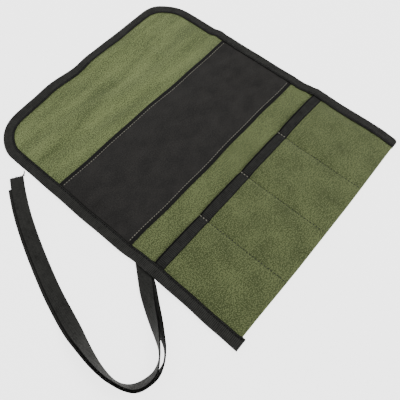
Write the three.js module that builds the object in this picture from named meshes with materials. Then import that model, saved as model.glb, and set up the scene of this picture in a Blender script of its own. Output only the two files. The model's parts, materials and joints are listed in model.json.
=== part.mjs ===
// Carving tool roll: a canvas sheet folded up at one end into four pockets, with a leather-look
// panel sewn across its middle, woven tape bound over its edges and two tape ties at one side.
// Millimetres, +Z up. X runs across the roll from the tie side, Y from the pocket fold to the
// flap end, and the origin is the middle of the footprint on the table.
import * as THREE from 'three';

// Driving dimensions of the sheet
const POCKETS = 4;
const POCKET_PITCH = 70;
const BINDING_WIDTH = 12.5;
const LENGTH = 364;
const MOUTH_Y = 112;
const MOUTH_TAPE_WIDTH = 12.5;
const PANEL_START = 143;
const PANEL_END = 252;
const STITCH_INSET = 4.5;
const CORNER_RADIUS = 46;

// Thicknesses, and the gap kept between layers that touch
const CANVAS = 1.2;
const LEATHER = 0.8;
const TAPE = 0.6;
const THREAD = 0.4;
const GAP = 0.3;

// The pocket fronts rise from the fold into a low crown at the mouth, where a tool goes in
const CROWN = 5.2;
const CROWN_SLOPE = 13;
const CROWN_MARGIN = 3;

// Room at each roll-up line: 0 degrees to 80 degrees must leave every layer clear, also with the
// flap folded onto the pockets
const SHEET_CLEARANCE = 0.15;
const PANEL_CLEARANCE = 1.3;
const FRONT_CLEARANCE = 2.4;
const MOUTH_CLEARANCE = 3.5;
const FLAP_CLEARANCE = 11;

// Ties: one tape doubled and sewn in at its middle, so two tails lie together
const TIE_WIDTH = 14;
const TIE_THICKNESS = 1.1;
const TIE_STEPS = 64;

// Layer heights, worked out from the thicknesses
const HALF_WIDTH = (POCKETS * POCKET_PITCH) / 2 + BINDING_WIDTH;
const SHEET_Z = TAPE + GAP;
const SHEET_TOP = SHEET_Z + CANVAS;
const PANEL_Z = SHEET_TOP + GAP;
const PANEL_TOP = PANEL_Z + LEATHER;
const THREAD_Z = PANEL_TOP + GAP;
const MOUTH_FRONT_Z = PANEL_Z + TAPE + GAP;
const FRONT = CANVAS - 0.1;
const MOUTH_FRONT_TOP = MOUTH_FRONT_Z + FRONT;
const BINDING_TOP = PANEL_TOP + GAP + TAPE;
const POCKET_BINDING_TOP = MOUTH_FRONT_TOP + GAP + TAPE;
const FLAP_FOLD_Y = (PANEL_START + PANEL_END) / 2;

const GREEN = { color: 0x6b7a42, roughness: 0.95, metalness: 0 };
const BLACK_LEATHER = { color: 0x2b2a29, roughness: 0.6, metalness: 0 };
const BLACK_TAPE = { color: 0x262625, roughness: 0.85, metalness: 0 };
const PALE_THREAD = { color: 0x9a9a86, roughness: 0.8, metalness: 0 };

const roll = new THREE.Group();
roll.position.y = -LENGTH / 2;

function addMesh(name, geometry, look) {
  const mesh = new THREE.Mesh(geometry, new THREE.MeshStandardMaterial(look));
  mesh.name = name;
  roll.add(mesh);
}

function shapeFrom(points) {
  return new THREE.Shape(points.map(([u, v]) => new THREE.Vector2(u, v)));
}

function signedVolume(geometry) {
  const p = geometry.attributes.position;
  const corner = (i) => new THREE.Vector3().fromBufferAttribute(p, i);
  let sum = 0;
  for (let i = 0; i < p.count; i += 3) {
    sum += corner(i).dot(corner(i + 1).cross(corner(i + 2)));
  }
  return sum / 6;
}

// Swaps two corners of every triangle, which turns the whole surface the other way out
function turnInsideOut(geometry) {
  const a = geometry.attributes.position.array;
  for (let i = 0; i < a.length; i += 9) {
    for (let k = 0; k < 3; k += 1) {
      [a[i + 3 + k], a[i + 6 + k]] = [a[i + 6 + k], a[i + 3 + k]];
    }
  }
}

// Extrudes a closed section straight and then carries each point (u, v) of station i to its place
function loft(section, steps, place) {
  const geometry = new THREE.ExtrudeGeometry(shapeFrom(section), {
    depth: 1, steps, bevelEnabled: false,
  });
  const p = geometry.attributes.position;
  for (let i = 0; i < p.count; i += 1) {
    const station = Math.round(p.getZ(i) * steps);
    const [x, y, z] = place(p.getX(i), p.getY(i), station);
    p.setXYZ(i, x, y, z);
  }
  if (signedVolume(geometry) < 0) turnInsideOut(geometry);
  geometry.computeVertexNormals();
  return geometry;
}

function slab(x0, x1, y0, y1, z0, z1) {
  const box = new THREE.BoxGeometry(x1 - x0, y1 - y0, z1 - z0);
  return box.translate((x0 + x1) / 2, (y0 + y1) / 2, (z0 + z1) / 2);
}

function plate(outline, z0, z1) {
  const shape = new THREE.ExtrudeGeometry(outline, { depth: z1 - z0, bevelEnabled: false });
  return shape.translate(0, 0, z0);
}

// Columns are numbered from the tie side. Each ends at a roll-up line or at an outer edge.
function columnSpan(column, clearance, edge) {
  const first = column === 1;
  const last = column === POCKETS;
  const left = (column - 1 - POCKETS / 2) * POCKET_PITCH;
  return [
    first ? -edge : left + clearance,
    last ? edge : left + POCKET_PITCH - clearance,
  ];
}

const INSIDE_BINDING = HALF_WIDTH - TAPE - GAP;
const BESIDE_BINDING = HALF_WIDTH - BINDING_WIDTH - GAP;

function canvasBack(column) {
  const [x0, x1] = columnSpan(column, SHEET_CLEARANCE, INSIDE_BINDING);
  return slab(x0, x1, CANVAS + GAP, FLAP_FOLD_Y - SHEET_CLEARANCE, SHEET_Z, SHEET_TOP);
}

// The flap's far corners are round on the two outer columns
function canvasFlap(column) {
  const [x0, x1] = columnSpan(column, FLAP_CLEARANCE, INSIDE_BINDING);
  const y0 = FLAP_FOLD_Y + SHEET_CLEARANCE;
  const y1 = LENGTH - TAPE - GAP;
  const r = CORNER_RADIUS - TAPE - GAP;
  const outline = new THREE.Shape();
  outline.moveTo(x0, y0);
  outline.lineTo(x1, y0);
  if (column === POCKETS) {
    outline.lineTo(x1, y1 - r);
    outline.absarc(x1 - r, y1 - r, r, 0, Math.PI / 2, false);
  } else {
    outline.lineTo(x1, y1);
  }
  if (column === 1) {
    outline.lineTo(x0 + r, y1);
    outline.absarc(x0 + r, y1 - r, r, Math.PI / 2, Math.PI, false);
  } else {
    outline.lineTo(x0, y1);
  }
  return plate(outline, SHEET_Z, SHEET_TOP);
}

// The sheet's fold at the pockets' lower end, which joins the back to the pocket fronts
function canvasFold(column) {
  const [x0, x1] = columnSpan(column, FRONT_CLEARANCE, INSIDE_BINDING);
  return slab(x0, x1, 0, CANVAS, SHEET_Z, PANEL_Z + FRONT);
}

// Height of the pocket front above the back sheet: it climbs evenly from the fold to the mouth,
// and across each pocket it rises from a flat margin beside the seam to the crown
function frontRise(column, x, y) {
  const left = (column - 1 - POCKETS / 2) * POCKET_PITCH;
  const fromSeam = Math.min(x - left, left + POCKET_PITCH - x);
  const across = (fromSeam - FRONT_CLEARANCE - CROWN_MARGIN) / CROWN_SLOPE;
  const climb = y / MOUTH_Y;
  return climb * (MOUTH_FRONT_Z - PANEL_Z + CROWN * THREE.MathUtils.clamp(across, 0, 1));
}

// Places across a pocket where its front changes slope, between the two ends
function crownBreaks(column, x0, x1) {
  const left = (column - 1 - POCKETS / 2) * POCKET_PITCH;
  const foot = FRONT_CLEARANCE + CROWN_MARGIN;
  const top = foot + CROWN_SLOPE;
  return [
    x0, left + foot, left + top,
    left + POCKET_PITCH - top, left + POCKET_PITCH - foot, x1,
  ];
}

// A stretch of the pocket front between two or more places across it
function pocketFront(column, xs) {
  const steps = 12;
  const y0 = CANVAS + GAP;
  const y1 = MOUTH_Y - TAPE - GAP;
  const lower = xs.map((x) => [x, 0]);
  const upper = [...xs].reverse().map((x) => [x, FRONT]);
  return loft([...lower, ...upper], steps, (x, z, i) => {
    const y = y0 + ((y1 - y0) * i) / steps;
    return [x, y, PANEL_Z + z + frontRise(column, x, y)];
  });
}

// The crown's two slopes and its flat middle are separate solids, so that each one is convex
// where it faces the pocket
function pocketFrontPieces(column) {
  const [x0, x1] = columnSpan(column, FRONT_CLEARANCE, INSIDE_BINDING);
  const xs = crownBreaks(column, x0, x1);
  const crown = [xs[2] + GAP, xs[3] - GAP];
  return {
    left: pocketFront(column, xs.slice(0, 3)),
    middle: pocketFront(column, crown),
    right: pocketFront(column, xs.slice(3)),
  };
}

// A tape folded over the pocket's mouth: one leg inside the pocket, one leg on its face
function mouthBinding(column) {
  const [x0, x1] = columnSpan(column, MOUTH_CLEARANCE, BESIDE_BINDING);
  const xs = crownBreaks(column, x0, x1);
  const y0 = MOUTH_Y - MOUTH_TAPE_WIDTH;
  const z0 = PANEL_Z - GAP - TAPE;
  const z1 = PANEL_Z + FRONT + GAP + TAPE;
  const section = [
    [y0, z0], [MOUTH_Y, z0], [MOUTH_Y, z1], [y0, z1],
    [y0, z1 - TAPE], [MOUTH_Y - TAPE, z1 - TAPE], [MOUTH_Y - TAPE, z0 + TAPE], [y0, z0 + TAPE],
  ];
  return loft(section, xs.length - 1, (y, z, i) => [xs[i], y, z + frontRise(column, xs[i], y)]);
}

// A tape folded over the sheet's edge. The path gives each point of the edge, the direction
// inwards from it and the height of the tape's upper face there.
function edgeBinding(path) {
  const section = [
    [0, 0], [BINDING_WIDTH, 0], [BINDING_WIDTH, 1], [TAPE, 1],
    [TAPE, 2], [BINDING_WIDTH, 2], [BINDING_WIDTH, 3], [0, 3],
  ];
  return loft(section, path.length - 1, (inwards, level, i) => {
    const { x, y, dx, dy, top } = path[i];
    const z = [0, TAPE, top - TAPE, top][level];
    return [x + dx * inwards, y + dy * inwards, z];
  });
}

// The side tapes step down from the pockets' double layer to the single sheet
function sideBindingPath(side) {
  const at = (y, top) => ({ x: side * HALF_WIDTH, y, dx: -side, dy: 0, top });
  return [
    at(0, POCKET_BINDING_TOP),
    at(MOUTH_Y, POCKET_BINDING_TOP),
    at(MOUTH_Y + 8, BINDING_TOP),
    at(FLAP_FOLD_Y - SHEET_CLEARANCE, BINDING_TOP),
  ];
}

function cornerPath(side) {
  const steps = 10;
  const cx = side * (HALF_WIDTH - CORNER_RADIUS);
  const cy = LENGTH - CORNER_RADIUS;
  const points = [];
  for (let i = 0; i <= steps; i += 1) {
    const turn = (i / steps) * (Math.PI / 2);
    const dx = -side * Math.cos(turn);
    const dy = -Math.sin(turn);
    points.push({
      x: cx - dx * CORNER_RADIUS, y: cy - dy * CORNER_RADIUS, dx, dy, top: BINDING_TOP,
    });
  }
  return points;
}

function flapBindingPath(column) {
  const [x0, x1] = columnSpan(column, FLAP_CLEARANCE, HALF_WIDTH);
  const end = (x) => ({ x, y: LENGTH, dx: 0, dy: -1, top: BINDING_TOP });
  const side = column === 1 ? -1 : 1;
  const start = {
    x: side * HALF_WIDTH, y: FLAP_FOLD_Y + SHEET_CLEARANCE, dx: -side, dy: 0, top: BINDING_TOP,
  };
  if (column === 1) return [start, ...cornerPath(side), end(x1)];
  if (column === POCKETS) return [start, ...cornerPath(side), end(x0)];
  return [end(x0), end(x1)];
}

function panelPiece(column, onFlap) {
  const clearance = onFlap ? FLAP_CLEARANCE : PANEL_CLEARANCE;
  const [x0, x1] = columnSpan(column, clearance, INSIDE_BINDING);
  const y0 = onFlap ? FLAP_FOLD_Y + SHEET_CLEARANCE : PANEL_START;
  const y1 = onFlap ? PANEL_END : FLAP_FOLD_Y - SHEET_CLEARANCE;
  return slab(x0, x1, y0, y1, PANEL_Z, PANEL_TOP);
}

function panelStitch(column, onFlap) {
  const clearance = onFlap ? FLAP_CLEARANCE : FRONT_CLEARANCE;
  const [x0, x1] = columnSpan(column, clearance, BESIDE_BINDING);
  const y = onFlap ? PANEL_END - STITCH_INSET : PANEL_START + STITCH_INSET;
  return slab(x0, x1, y - THREAD, y + THREAD, THREAD_Z, THREAD_Z + THREAD);
}

// The seam between two pockets runs from the fold to the mouth tape, on the column before it
function pocketSeam(column) {
  const x = (column - POCKETS / 2) * POCKET_PITCH;
  const y1 = MOUTH_Y - GAP;
  return slab(x - 4 * THREAD, x - THREAD, CANVAS + 2 * GAP, y1, PANEL_Z, PANEL_Z + 3 * THREAD);
}

// Route of the pair of ties on the table: x and y as the sheet's, how far the tape has turned
// from lying flat towards standing on its edge in degrees, and how far each tail's middle is
// from the route
const TIE_ROUTE = [
  [-162.0, 101.0, 12, 1.3], [-168.4, 92.0, 28, 1.8], [-175.4, 81.4, 42, 2.0],
  [-182.8, 69.7, 55, 2.1], [-189.5, 59.3, 70, 2.3], [-196.5, 49.7, 82, 2.6],
  [-205.0, 42.7, 82, 2.4], [-216.0, 38.9, 68, 1.5], [-226.4, 40.1, 60, 1.0],
  [-235.9, 44.3, 60, 1.0], [-242.1, 51.8, 72, 1.0], [-245.6, 60.9, 80, 1.1],
  [-247.0, 72.1, 76, 1.1], [-246.0, 88.1, 65, 1.2], [-242.6, 106.9, 48, 1.4],
  [-238.2, 126.5, 20, 1.5], [-232.9, 146.7, 3, 1.6], [-226.7, 167.3, 0, 1.6],
  [-219.1, 188.3, 0, 1.6], [-210.5, 210.3, 0, 1.6], [-200.7, 233.3, 0, 1.6],
  [-189.7, 256.3, 0, 1.6], [-177.3, 278.3, 0, 1.6], [-166.7, 294.8, 0, 1.6],
];

// Distance of each tail's middle from the route, at share s of it
function tieSpread(s) {
  const at = s * (TIE_ROUTE.length - 1);
  const k = Math.min(Math.floor(at), TIE_ROUTE.length - 2);
  return THREE.MathUtils.lerp(TIE_ROUTE[k][3], TIE_ROUTE[k + 1][3], at - k);
}

// A tail is swept along the route, beside its centre line and flat on or above the other tail
function tieTail(isUpper, cutBack) {
  const points = TIE_ROUTE.map(([x, y, turn]) => new THREE.Vector3(x, y, turn));
  const route = new THREE.CatmullRomCurve3(points, false, 'catmullrom', 0.5);
  const w = TIE_WIDTH / 2;
  const t = TIE_THICKNESS / 2;
  const section = [
    [-w, -t / 2], [-w + t, -t], [w - t, -t], [w, -t / 2],
    [w, t / 2], [w - t, t], [-w + t, t], [-w, t / 2],
  ];
  const side = isUpper ? 1 : -1;
  return loft(section, TIE_STEPS, (u, v, i) => {
    const s = (i / TIE_STEPS) * (1 - cutBack);
    const here = route.getPoint(s);
    const along = route.getTangent(s);
    const across = new THREE.Vector2(along.y, -along.x).normalize();
    const turn = THREE.MathUtils.degToRad(Math.max(here.z, 0));
    const beside = side * tieSpread(s);
    const lift = isUpper ? (TIE_THICKNESS + GAP) * Math.cos(turn) : 0;
    const level = w * Math.sin(turn) + t * Math.cos(turn) + lift;
    const flat = beside + u * Math.cos(turn) + v * Math.sin(turn);
    const z = level - u * Math.sin(turn) + v * Math.cos(turn);
    return [here.x + across.x * flat, here.y + across.y * flat, z];
  });
}

// The doubled middle of the tie tape, sewn to the sheet's edge and cut square to the route
function tieAnchor() {
  const x = -HALF_WIDTH - GAP;
  const reach = TIE_WIDTH / 2 + tieSpread(0);
  const [[x0, y0], [x1, y1]] = TIE_ROUTE;
  const along = new THREE.Vector2(x1 - x0, y1 - y0).normalize();
  const endX = x0 - along.x * 2 * GAP;
  const endY = y0 - along.y * 2 * GAP;
  const outline = shapeFrom([
    [x, endY + reach * along.x],
    [x, endY + reach * 2.4],
    [endX + reach * along.y, endY - reach * along.x],
    [Math.min(endX - reach * along.y, x - GAP), endY + reach * along.x],
  ]);
  return plate(outline, 0, 2 * TIE_THICKNESS + GAP);
}

for (let column = 1; column <= POCKETS; column += 1) {
  addMesh(`canvas_back_${column}`, canvasBack(column), GREEN);
  addMesh(`canvas_flap_${column}`, canvasFlap(column), GREEN);
  addMesh(`canvas_fold_${column}`, canvasFold(column), GREEN);
  const front = pocketFrontPieces(column);
  addMesh(`pocket_front_${column}`, front.middle, GREEN);
  addMesh(`pocket_front_${column}_left`, front.left, GREEN);
  addMesh(`pocket_front_${column}_right`, front.right, GREEN);
  addMesh(`pocket_mouth_tape_${column}`, mouthBinding(column), BLACK_TAPE);
  addMesh(`panel_lower_${column}`, panelPiece(column, false), BLACK_LEATHER);
  addMesh(`panel_upper_${column}`, panelPiece(column, true), BLACK_LEATHER);
  addMesh(`panel_stitch_lower_${column}`, panelStitch(column, false), PALE_THREAD);
  addMesh(`panel_stitch_upper_${column}`, panelStitch(column, true), PALE_THREAD);
  addMesh(`flap_edge_tape_${column}`, edgeBinding(flapBindingPath(column)), BLACK_TAPE);
  if (column < POCKETS) addMesh(`pocket_seam_${column}`, pocketSeam(column), PALE_THREAD);
}
addMesh('edge_tape_left', edgeBinding(sideBindingPath(-1)), BLACK_TAPE);
addMesh('edge_tape_right', edgeBinding(sideBindingPath(1)), BLACK_TAPE);
addMesh('tie_anchor', tieAnchor(), BLACK_TAPE);
addMesh('tie_tail_upper', tieTail(true, 0), BLACK_TAPE);
addMesh('tie_tail_lower', tieTail(false, 0.03), BLACK_TAPE);

export default roll;
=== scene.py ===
"""An open canvas tool roll for carving tools, lying flat with its two tape ties beside it."""

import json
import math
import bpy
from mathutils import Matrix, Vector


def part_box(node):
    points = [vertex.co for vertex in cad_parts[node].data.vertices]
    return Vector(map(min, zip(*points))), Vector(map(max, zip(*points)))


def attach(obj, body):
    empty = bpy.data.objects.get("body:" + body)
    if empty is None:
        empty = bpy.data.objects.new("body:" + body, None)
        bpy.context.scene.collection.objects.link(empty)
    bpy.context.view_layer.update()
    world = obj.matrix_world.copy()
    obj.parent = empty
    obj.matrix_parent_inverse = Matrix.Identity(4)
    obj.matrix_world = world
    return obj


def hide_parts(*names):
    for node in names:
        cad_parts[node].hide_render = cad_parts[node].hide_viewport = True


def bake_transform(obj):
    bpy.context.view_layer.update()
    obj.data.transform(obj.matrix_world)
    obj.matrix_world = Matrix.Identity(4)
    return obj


bl_info = {
    "name": "Carving Tool Roll",
    "version": (1, 0, 0),
    "blender": (4, 5, 0),
    "location": "View3D > Sidebar > Tool Roll",
    "description": "Builds an open canvas tool roll with pockets, a panel, tapes, stitching and ties",
    "category": "Add Mesh",
}

import bpy
import numpy as np
from bpy.props import FloatProperty, FloatVectorProperty, PointerProperty
from mathutils import Euler, Matrix

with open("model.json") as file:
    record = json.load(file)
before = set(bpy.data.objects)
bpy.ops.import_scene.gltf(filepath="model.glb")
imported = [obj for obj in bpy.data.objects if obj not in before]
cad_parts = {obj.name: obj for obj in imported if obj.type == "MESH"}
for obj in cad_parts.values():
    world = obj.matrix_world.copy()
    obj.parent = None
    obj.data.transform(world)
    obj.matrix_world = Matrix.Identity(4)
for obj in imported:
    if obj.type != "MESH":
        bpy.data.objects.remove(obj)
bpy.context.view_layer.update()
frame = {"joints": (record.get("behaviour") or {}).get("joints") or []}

MM = 0.001

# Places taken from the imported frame, in metres
JOINTS = {joint["name"]: joint for joint in frame["joints"]}
ROLL_LINES = [JOINTS[f"roll_{k}"]["pos_m"][0] for k in (1, 2, 3)]
FLAP_LINE = JOINTS["flap_fold_1"]["pos_m"][1]
PITCH = ROLL_LINES[1] - ROLL_LINES[0]
SIDE_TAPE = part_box("edge_tape_left")
MOUTH_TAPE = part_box("pocket_mouth_tape_2")
SIDE = -SIDE_TAPE[0].x
FOLD_Y = SIDE_TAPE[0].y
END_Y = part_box("flap_edge_tape_2")[1].y
BINDING_WIDTH = SIDE_TAPE[1].x - SIDE_TAPE[0].x
MOUTH_Y = MOUTH_TAPE[1].y
MOUTH_TAPE_START = MOUTH_TAPE[0].y
PANEL_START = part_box("panel_lower_2")[0].y
PANEL_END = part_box("panel_upper_2")[1].y
COLUMNS = (1, 2, 3, 4)
MIDDLES = [line + PITCH / 2 for line in ROLL_LINES[:2]]

# How far on each side of its fold lines the cloth has its finer grid, and how close together its
# points lie
ROLL_BAND = 3 * MM
FLAP_BAND = 7.5 * MM
JOIN_Y = FLAP_LINE - FLAP_BAND
BAND_END = FLAP_LINE + FLAP_BAND
GRID = 2.5 * MM
FINE_GRID = 1 * MM
TAPE_GRID = 3 * MM

# How far inside the tape's outer edge the canvas ends, and how far from its inner edge the
# binding's and the mouth tape's stitches run
CANVAS_INSET = 1.2 * MM
BINDING_STITCHES = 2.05 * MM
MOUTH_STITCHES = 2.2 * MM

# Where a tape without stitches has its groove's painted shade: beyond its other edge
PAST_THE_TAPE = 40 * MM

# Where the rows of stitches on the panel and the mouth tape end, and how far short of the ends of
# a tape its stitches stop
STITCHED_TO = SIDE - BINDING_WIDTH - 1 * MM
STITCH_MARGIN = 1.6 * MM

# How far past the fold the binding's right end reaches
RIGHT_END = 0.4 * MM

# The lamps: name, place in metres and width in metres; their power is in the sidebar
LAMPS = [("key", (0.65, -0.75, 1.15), 0.8), ("fill", (0.32, 0.62, 0.6), 0.6)]
FLOOR_HALF = 4.0

# Seeds of the loose yarns at the upper and the lower tail's end
FRAY_SEEDS = {True: 7, False: 8}

# Places from the panel's long edge to where its face begins, and how many of the spans between
# them make its darker strip: painted shade along the edge beyond the stitches
PANEL_STRIP = np.array([0, 0.8, 1.6, 2.4, 3.2, 4.0, 4.7, 5.5, 7.0]) * MM
PAINTED_SHADE_SPANS = 5

# Height of the flap's end above its level, along the roll: (x, lift) in millimetres
END_LIFT = [
    (-150, 0.6), (-116, 0.3), (-85, 1.0), (-55, 2.4), (-20, 0.4), (8, 3.2), (60, 3.4),
    (116, 3.0), (150, 1.2),
]

# How far the binding's edge lies outside its straight line, in millimetres: at distances from the
# fold on the two sides, and at places across the flap's end
LEFT_WANDER = [
    (-3, 1.3), (25, 1.1), (60, -0.4), (95, -0.5), (128, -0.2), (150, 0.9), (215, 1.1),
    (252, 0.8), (290, 0.6), (320, 0.2),
]
RIGHT_WANDER = [
    (-3, 0.8), (20, 1.8), (60, 2.1), (100, 1.7), (119, 2.5), (132, 0.7), (190, 1.2),
    (252, 1.0), (264, 2.3), (275, -0.2), (330, -0.7),
]
END_WANDER = [
    (-150, -1.2), (-116, -2.6), (-85, -1.6), (-55, -0.6), (-20, -1.6), (8, -0.2), (150, -0.2),
]

# Places across a leg of the binding, from 1 at its inner edge to 0 at the fold, and the one that
# its stitches run along
TAPE_LEG = [1, 0.95, 0.9, 0.86, 0.82, 0.78, 0.73, 0.6, 0.4, 0.2, 0]
STITCH_COLUMN = 4

# Route of the pair of ties on the table: x and distance from the fold in millimetres, how far the
# tape has turned from lying flat towards standing on its edge in degrees, and how far each tail's
# middle is from the route in millimetres
TIE_ROUTE = [
    (-162.0, 101.0, 12, 1.3), (-168.4, 92.0, 28, 1.8), (-175.4, 81.4, 42, 2.0),
    (-182.8, 69.7, 55, 2.1), (-189.5, 59.3, 70, 2.3), (-196.5, 49.7, 82, 2.6),
    (-205.0, 42.7, 82, 2.4), (-216.0, 38.9, 68, 1.5), (-226.4, 40.1, 60, 1.0),
    (-235.9, 44.3, 60, 1.0), (-242.1, 51.8, 72, 1.0), (-245.6, 60.9, 80, 1.1),
    (-247.0, 72.1, 76, 1.1), (-246.0, 88.1, 65, 1.2), (-242.6, 106.9, 48, 1.4),
    (-238.2, 126.5, 20, 1.5), (-232.9, 146.7, 3, 1.6), (-226.7, 167.3, 0, 1.6),
    (-219.1, 188.3, 0, 1.6), (-210.5, 210.3, 0, 1.6), (-200.7, 233.3, 0, 1.6),
    (-189.7, 256.3, 0, 1.6), (-177.3, 278.3, 0, 1.6), (-166.7, 294.8, 0, 1.6),
]


def length_prop(label, about, value):
    """A length in metres that the panel shows."""
    return FloatProperty(name=label, description=about, default=value, unit="LENGTH", precision=5)


def colour_prop(label, about, value):
    """A colour that the panel shows, in linear light."""
    return FloatVectorProperty(
        name=label, description=about, default=value, size=3, min=0, max=1, subtype="COLOR"
    )


class RollSizes(bpy.types.PropertyGroup):
    """Sizes of the roll's cloth, tape and thread."""

    sheet_level: length_prop("Sheet level", "Height of the sheet's middle above the table", 1.5 * MM)
    canvas: length_prop("Canvas", "Thickness of the canvas", 0.9 * MM)
    leather: length_prop("Panel", "Thickness of the imitation leather", 0.7 * MM)
    tape: length_prop("Tape", "Thickness of the binding tape", 0.55 * MM)
    crown: length_prop("Pocket crown", "How far a pocket's mouth stands up", 3.4 * MM)
    wave: length_prop("Waves", "Height of the soft waves in the flap", 1.1 * MM)
    corner: length_prop("Corner radius", "Radius of the flap's corners", 46 * MM)
    stitch_inset: length_prop("Stitch inset", "From the panel's edge to its stitching", 4.7 * MM)
    stitch_pitch: length_prop("Stitch pitch", "From one stitch to the next", 3.3 * MM)
    thread: length_prop("Thread", "Thickness of the thread", 0.64 * MM)
    tie_width: length_prop("Tie width", "Width of the tie tape", 14 * MM)
    tie_thickness: length_prop("Tie thickness", "Thickness of the tie tape", 1.1 * MM)
    weave: length_prop("Weave pitch", "From one canvas yarn to the next", 0.85 * MM)
    rib: length_prop("Rib pitch", "From one rib of the tape to the next", 1.8 * MM)


class RollColours(bpy.types.PropertyGroup):
    """Colours of the roll's cloth, tape and thread, and of the stage."""

    canvas_light: colour_prop("Canvas, light yarn", "Lightest canvas yarns", (0.205, 0.245, 0.098))
    canvas_dark: colour_prop("Canvas, dark yarn", "Darkest canvas yarns", (0.072, 0.092, 0.034))
    panel: colour_prop("Panel", "Black imitation leather", (0.0230, 0.0215, 0.0200))
    tape: colour_prop("Tape", "Black woven tape", (0.0150, 0.0150, 0.0138))
    thread_pale: colour_prop("Pale thread", "Thread of the panel's edges", (0.44, 0.42, 0.34))
    # the dark thread's colour also stands for the pocket seams' olive thread on the canvas: painted
    # shade there
    thread_dark: colour_prop("Dark thread", "Thread of the tapes", (0.005, 0.005, 0.0045))
    floor: colour_prop("Floor", "Plain pale floor", (0.90, 0.90, 0.90))


class RollView(bpy.types.PropertyGroup):
    """Where the camera stands, and the strength of the lights."""

    place: FloatVectorProperty(
        name="Place", description="Where the camera stands", size=3, subtype="TRANSLATION",
        default=(-0.2370, -0.2005, 0.4526),
    )
    right: FloatVectorProperty(
        name="Right", description="Direction across the picture", size=3, subtype="DIRECTION",
        default=(0.64618, -0.76293, 0.01954),
    )
    up: FloatVectorProperty(
        name="Up", description="Direction up the picture", size=3, subtype="DIRECTION",
        default=(0.67348, 0.58209, 0.45562),
    )
    lens: FloatProperty(name="Lens", description="Focal length in millimetres", default=42.3)
    soft_light: FloatProperty(
        name="Soft light", description="Strength of the light all round", default=0.5,
    )
    key_light: FloatProperty(
        name="Key light", description="Power of the large lamp", default=9.5, unit="POWER",
    )
    fill_light: FloatProperty(
        name="Fill light", description="Power of the lamp beyond the flap", default=2.0, unit="POWER",
    )
    floor_glow: FloatProperty(
        name="Floor glow", description="Light that the pale floor gives", default=2.8,
    )


def sizes():
    """The sizes set in the sidebar."""
    return bpy.context.scene.roll_sizes


def colours():
    """The colours set in the sidebar."""
    return bpy.context.scene.roll_colours


# Shape of the cloth

def smooth(t):
    """0 before 0, 1 after 1 and an even S between them."""
    t = np.clip(t, 0, 1)
    return t * t * (3 - 2 * t)


def bell(distance, width):
    """1 at no distance, falling to nothing past about twice the width."""
    return np.exp(-((distance / width) ** 2))


def eased(points, x):
    """Height at x on a line of soft steps through the points."""
    xs, heights = np.array(points, float).T
    k = np.clip(np.searchsorted(xs, x) - 1, 0, len(xs) - 2)
    t = smooth((x - xs[k]) / (xs[k + 1] - xs[k]))
    return heights[k] + t * (heights[k + 1] - heights[k])


def from_roll_line(x):
    """Distance to the nearest roll-up line."""
    return np.min([np.abs(x - line) for line in ROLL_LINES], axis=0)


def lie(x, y):
    """How far the sheet lies above its level: waves in the flap, its lifted end and raised edges."""
    u, v = x / MM, (y - FOLD_Y) / MM
    on_flap = smooth((v - 205) / 55)
    # three sets of waves across the flap, along lines that bend, and one ridge by the panel
    bend = 7 * np.sin(u / 61 + 0.6) + 3 * np.sin(u / 27)
    waves = np.sin((v + bend) / 3.4) * 0.14 * np.sin(u / 38 + v / 19)
    waves = waves + np.sin((v + 1.5 * bend) / 5.6) * 0.4 + np.sin((v + 2 * bend) / 9.3 + 1.1) * 0.7
    waves = waves + 1.1 * bell(v + 0.12 * u - 262, 9)
    # a gentle unevenness all over, the flap's lifted end, and the two sides where they stand up
    gentle = 0.25 * np.sin(u / 23 + v / 31) + 0.2 * np.sin(u / 13 - v / 40 + 2)
    end = smooth((v - 308) / 55) * eased(END_LIFT, u)
    right = 1.3 * smooth((u - 118) / 34) * smooth(v / 25) * smooth((175 - v) / 60)
    ties = 1.5 * smooth((u + 122) / -30) * smooth((30 - np.abs(v - 112)) / 22)
    body = smooth((SIDE / MM - np.abs(u)) / 30)
    under_panel = 1.5 * smooth((v - 185) / 25) * smooth((246 - v) / 26) * body
    height = waves * on_flap * body * sizes().wave / MM + 0.6 * gentle * body + end + right + ties
    height = height + under_panel
    # the height levels out softly above a lowest one, which is higher at the roll-up lines
    creased = 1.25 * on_flap * bell(from_roll_line(x), 8 * MM)
    lowest, softness = -0.9 + np.maximum(creased, 0.7 * smooth((v - 330) / 20)), 0.25
    return (lowest + softness * np.logaddexp(0, (height - lowest) / softness)) * MM


def sheet_mid(x, y):
    """Middle of the sheet's thickness."""
    return sizes().sheet_level + lie(x, y)


def sheet_top(x, y):
    """Upper face of the sheet."""
    return sheet_mid(x, y) + sizes().canvas / 2


def pocket_gap(x, y):
    """Space between the sheet and the pocket front: it opens from the fold to the mouth."""
    climb = np.clip((y - FOLD_Y) / (MOUTH_Y - FOLD_Y), 0, 1)
    across = np.mod((x - ROLL_LINES[0]) / PITCH, 1)
    inside = np.abs(x) < SIDE - BINDING_WIDTH
    puff = np.where(inside, 1 - np.abs(2 * across - 1) ** 5, 0)
    groove = 0.16 * MM * bell(from_roll_line(x), 1.7 * MM) * smooth(climb * 8)
    tape_room = (sizes().tape + 0.2 * MM) * smooth((climb - 0.72) / 0.12)
    ripple = 0.16 * MM * np.sin(x / (9 * MM) + y / (17 * MM)) * puff
    return 0.35 * MM + tape_room + sizes().crown * climb ** 0.8 * puff + ripple - groove


def front_mid(x, y):
    """Middle of the pocket front's thickness."""
    return sheet_top(x, y) + pocket_gap(x, y) + sizes().canvas / 2


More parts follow.
